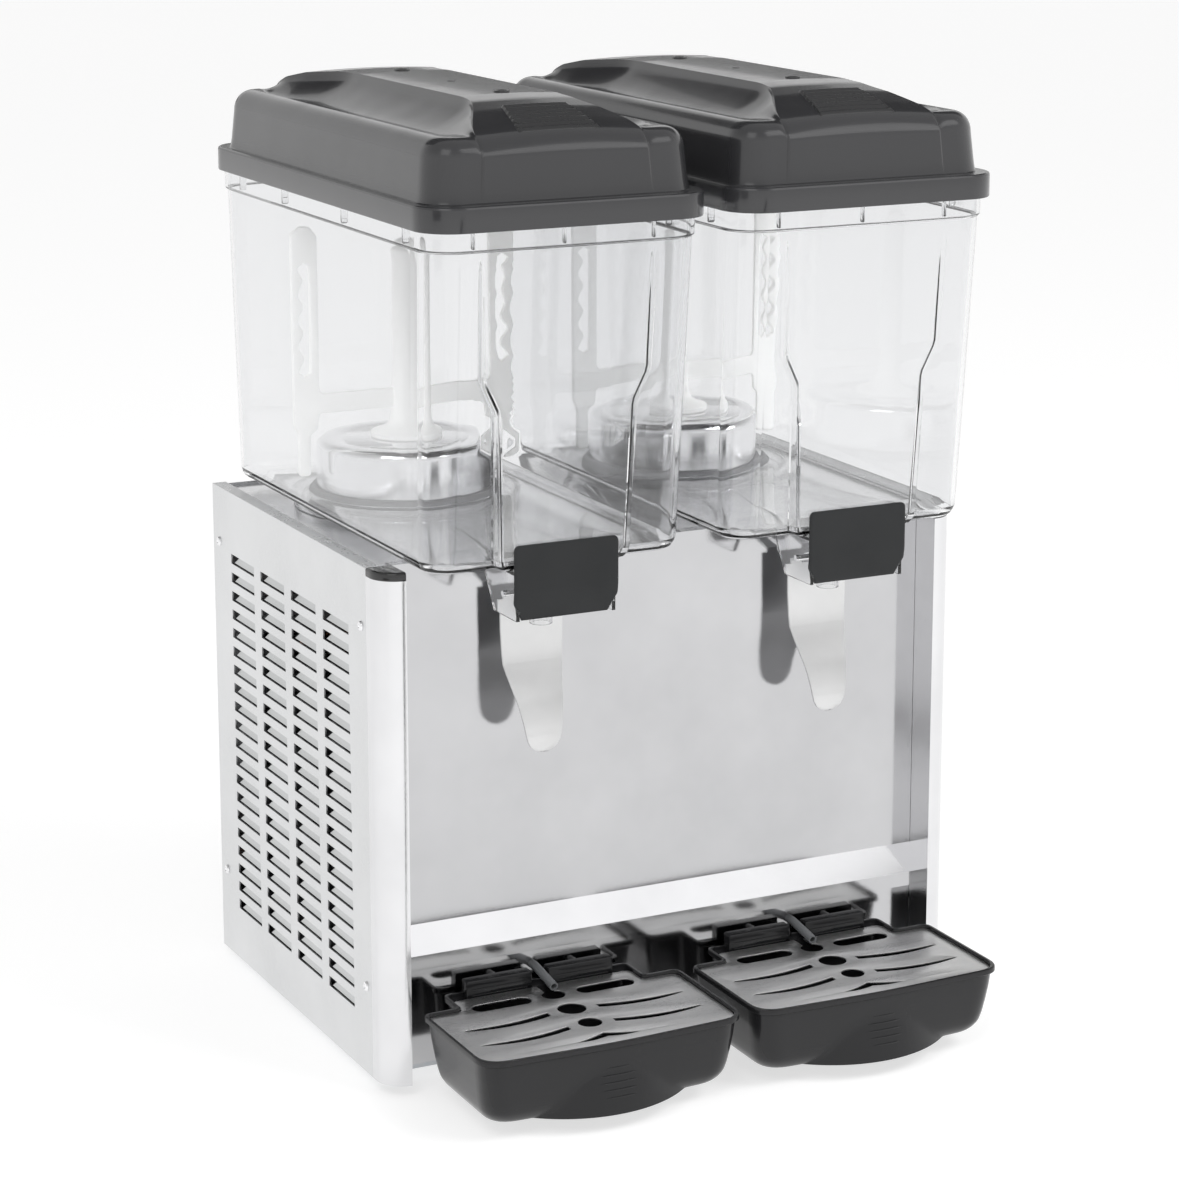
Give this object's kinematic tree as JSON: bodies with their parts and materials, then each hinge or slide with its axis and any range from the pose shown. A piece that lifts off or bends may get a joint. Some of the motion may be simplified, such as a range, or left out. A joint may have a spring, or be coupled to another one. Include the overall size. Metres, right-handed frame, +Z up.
{
  "type": "twin-bowl drink dispenser",
  "caption": "Countertop chilled drink dispenser: louvred steel cabinet, clear bowls on cooling drums with stirrers, dark lids, push-lever taps and drip trays with steel grilles.",
  "frame": {"origin": "floor level under the middle of the bounding box", "axes": "+X to the user's right, -Y the front with the taps, +Z up"},
  "size_m": [0.4334, 0.4384, 0.652],
  "materials": {
    "mirror_stainless": "near-mirror polished stainless sheet",
    "satin_stainless": "satin stainless sheet",
    "polished_stainless": "polished stainless",
    "galvanised_steel": "galvanised sheet",
    "clear_plastic": "clear glossy",
    "charcoal_plastic": "fine-grained with glossy coves",
    "black_gloss": "glossy black",
    "white_plastic": "moulded white",
    "black_rubber": "soft black",
    "black_enamel": "black enamel",
    "aluminium_fins": "thin fins",
    "copper_pipe": "copper",
    "motor_steel": "grey painted"
  },
  "bodies": {
    "root": {"base_pan": "galvanised_steel", "left_side_panel": "satin_stainless", "right_side_panel": "satin_stainless", "rear_panel": "satin_stainless", "front_panel": "mirror_stainless", "lower_front_panel": "mirror_stainless", "top_plate": "satin_stainless", "left_front_post": "satin_stainless", "right_front_post": "satin_stainless", "left_post_cap": "black_gloss", "right_post_cap": "black_gloss", "rubber_feet": "black_rubber", "panel_screws": "polished_stainless", "drain_tubes": "satin_stainless", "left_cooling_drum": "polished_stainless", "right_cooling_drum": "polished_stainless", "bowl_gaskets": "black_rubber", "evaporator_coils": "copper_pipe", "stirrer_motors": "motor_steel", "compressor": "black_enamel", "condenser_coil": "aluminium_fins", "fan_shroud": "galvanised_steel", "fan_motor": "motor_steel", "filter_drier": "copper_pipe", "refrigerant_pipes": "copper_pipe", "control_box": "galvanised_steel", "switch_bezel": "black_gloss", "power_inlet": "black_gloss"},
    "left_bowl_unit": {"left_bowl": "clear_plastic", "left_tap_body": "clear_plastic", "left_tap_cover": "charcoal_plastic", "left_lever_pin": "polished_stainless"},
    "left_lid_unit": {"left_lid": "charcoal_plastic"},
    "left_stirrer_unit": {"left_agitator": "white_plastic"},
    "left_rotor_unit": {"left_drive_rotor": "white_plastic"},
    "left_lever_unit": {"left_tap_lever": "polished_stainless"},
    "left_piston_unit": {"left_valve_piston": "white_plastic", "left_valve_spring": "polished_stainless"},
    "left_tray_unit": {"left_drip_tray": "charcoal_plastic"},
    "left_grille_unit": {"left_tray_grille": "satin_stainless"},
    "right_bowl_unit": {"right_bowl": "clear_plastic", "right_tap_body": "clear_plastic", "right_tap_cover": "charcoal_plastic", "right_lever_pin": "polished_stainless"},
    "right_lid_unit": {"right_lid": "charcoal_plastic"},
    "right_stirrer_unit": {"right_agitator": "white_plastic"},
    "right_rotor_unit": {"right_drive_rotor": "white_plastic"},
    "right_lever_unit": {"right_tap_lever": "polished_stainless"},
    "right_piston_unit": {"right_valve_piston": "white_plastic", "right_valve_spring": "polished_stainless"},
    "right_tray_unit": {"right_drip_tray": "charcoal_plastic"},
    "right_grille_unit": {"right_tray_grille": "satin_stainless"},
    "fan_unit": {"fan_blade": "black_gloss"},
    "left_stir_rocker_unit": {"left_stir_rocker": "black_gloss"},
    "right_stir_rocker_unit": {"right_stir_rocker": "black_gloss"},
    "power_rocker_unit": {"power_rocker": "black_gloss"},
    "knob_unit": {"thermostat_knob": "black_gloss"}
  },
  "joints": [
    {"name": "left_bowl_lift", "type": "slide", "parent": "root", "child": "left_bowl_unit", "axis": [0, 0, 1], "range_m": [0, 0.08]},
    {"name": "left_lid_lift", "type": "slide", "parent": "left_bowl_unit", "child": "left_lid_unit", "axis": [0, 0, 1], "range_m": [0, 0.1]},
    {"name": "left_stirrer_spin", "type": "hinge", "parent": "left_bowl_unit", "child": "left_stirrer_unit", "pos_m": [-0.1069, 0.10222, 0.408], "axis": [0, 0, 1], "continuous": true},
    {"name": "left_rotor_spin", "type": "hinge", "parent": "root", "child": "left_rotor_unit", "pos_m": [-0.1069, 0.10222, 0.386], "axis": [0, 0, 1], "continuous": true},
    {"name": "left_lever_push", "type": "hinge", "parent": "left_bowl_unit", "child": "left_lever_unit", "pos_m": [-0.1069, -0.13478, 0.341], "axis": [1, 0, 0], "range_deg": [0, 16], "stiffness_Nm_per_rad": 0.15, "springref_deg": -11.46},
    {"name": "left_piston_rise", "type": "slide", "parent": "left_bowl_unit", "child": "left_piston_unit", "axis": [0, 0, 1], "range_m": [0, 0.0052], "deforming": ["left_valve_spring"]},
    {"name": "left_tray_pull", "type": "slide", "parent": "root", "child": "left_tray_unit", "axis": [0, -1, 0], "range_m": [0, 0.15]},
    {"name": "left_grille_lift", "type": "slide", "parent": "left_tray_unit", "child": "left_grille_unit", "axis": [0, 0, 1], "range_m": [0, 0.04]},
    {"name": "right_bowl_lift", "type": "slide", "parent": "root", "child": "right_bowl_unit", "axis": [0, 0, 1], "range_m": [0, 0.08]},
    {"name": "right_lid_lift", "type": "slide", "parent": "right_bowl_unit", "child": "right_lid_unit", "axis": [0, 0, 1], "range_m": [0, 0.1]},
    {"name": "right_stirrer_spin", "type": "hinge", "parent": "right_bowl_unit", "child": "right_stirrer_unit", "pos_m": [0.1069, 0.10222, 0.408], "axis": [0, 0, 1], "continuous": true},
    {"name": "right_rotor_spin", "type": "hinge", "parent": "root", "child": "right_rotor_unit", "pos_m": [0.1069, 0.10222, 0.386], "axis": [0, 0, 1], "continuous": true},
    {"name": "right_lever_push", "type": "hinge", "parent": "right_bowl_unit", "child": "right_lever_unit", "pos_m": [0.1069, -0.13478, 0.341], "axis": [1, 0, 0], "range_deg": [0, 16], "stiffness_Nm_per_rad": 0.15, "springref_deg": -11.46},
    {"name": "right_piston_rise", "type": "slide", "parent": "right_bowl_unit", "child": "right_piston_unit", "axis": [0, 0, 1], "range_m": [0, 0.0052], "deforming": ["right_valve_spring"]},
    {"name": "right_tray_pull", "type": "slide", "parent": "root", "child": "right_tray_unit", "axis": [0, -1, 0], "range_m": [0, 0.15]},
    {"name": "right_grille_lift", "type": "slide", "parent": "right_tray_unit", "child": "right_grille_unit", "axis": [0, 0, 1], "range_m": [0, 0.04]},
    {"name": "fan_spin", "type": "hinge", "parent": "root", "child": "fan_unit", "pos_m": [-0.14, 0.05922, 0.143], "axis": [1, 0, 0], "continuous": true},
    {"name": "left_stir_rocker_press", "type": "hinge", "parent": "root", "child": "left_stir_rocker_unit", "pos_m": [0.135, 0.19822, 0.303], "axis": [1, 0, 0], "range_deg": [0, 14]},
    {"name": "right_stir_rocker_press", "type": "hinge", "parent": "root", "child": "right_stir_rocker_unit", "pos_m": [0.16, 0.19822, 0.303], "axis": [1, 0, 0], "range_deg": [0, 14]},
    {"name": "power_rocker_press", "type": "hinge", "parent": "root", "child": "power_rocker_unit", "pos_m": [0.185, 0.19822, 0.303], "axis": [1, 0, 0], "range_deg": [0, 14]},
    {"name": "thermostat_turn", "type": "hinge", "parent": "root", "child": "knob_unit", "pos_m": [0.16, 0.20722, 0.258], "axis": [0, 1, 0], "range_deg": [0, 270]}
  ],
  "couplings": [
    {"joint": "left_rotor_spin", "follows": "left_stirrer_spin", "ratio": 1},
    {"joint": "left_piston_rise", "follows": "left_lever_push", "m_per_rad": 0.0179},
    {"joint": "right_rotor_spin", "follows": "right_stirrer_spin", "ratio": 1},
    {"joint": "right_piston_rise", "follows": "right_lever_push", "m_per_rad": 0.0179}
  ]
}
